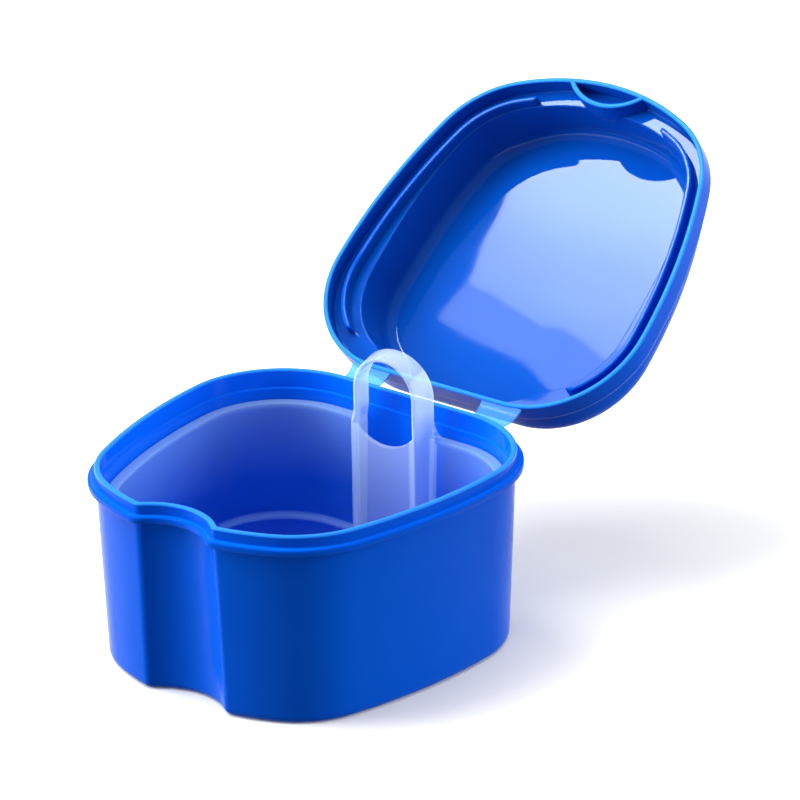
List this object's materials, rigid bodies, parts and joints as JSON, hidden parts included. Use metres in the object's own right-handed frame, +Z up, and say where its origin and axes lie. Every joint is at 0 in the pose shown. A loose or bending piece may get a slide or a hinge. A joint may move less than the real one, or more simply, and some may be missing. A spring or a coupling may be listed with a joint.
{
  "type": "denture case",
  "caption": "Lidded denture bath: a tapered cup with a thumb notch, a domed lid on two film-strap hinges, and a lift-out strainer basket with a finger loop.",
  "frame": {"origin": "centre of the cup's flat underside, on the surface the case stands on", "axes": "+Z up, +Y towards the hinge, -Y towards the thumb notch, +X to the right as seen from the notch"},
  "size_m": [0.0852, 0.1607, 0.0938],
  "materials": {
    "blue_case": "gloss, moulded polypropylene",
    "blue_film": "thin translucent film of the case's polypropylene",
    "milky_basket": "satin, milky translucent natural polypropylene"
  },
  "bodies": {
    "cup_body": {"cup": "blue_case", "hinge_strap_left": "blue_film", "hinge_strap_right": "blue_film"},
    "lid_body": {"lid": "blue_case"},
    "basket_body": {"strainer_basket": "milky_basket"}
  },
  "joints": [
    {"name": "lid_hinge", "type": "hinge", "parent": "cup_body", "child": "lid_body", "pos_m": [0, 0.04585, 0.04076], "axis": [1, 0, 0], "range_deg": [-38, 142], "deforming": ["hinge_strap_left", "hinge_strap_right"]},
    {"name": "basket_lift", "type": "slide", "parent": "cup_body", "child": "basket_body", "axis": [0, 0, 1], "range_m": [0, 0.0005]}
  ]
}
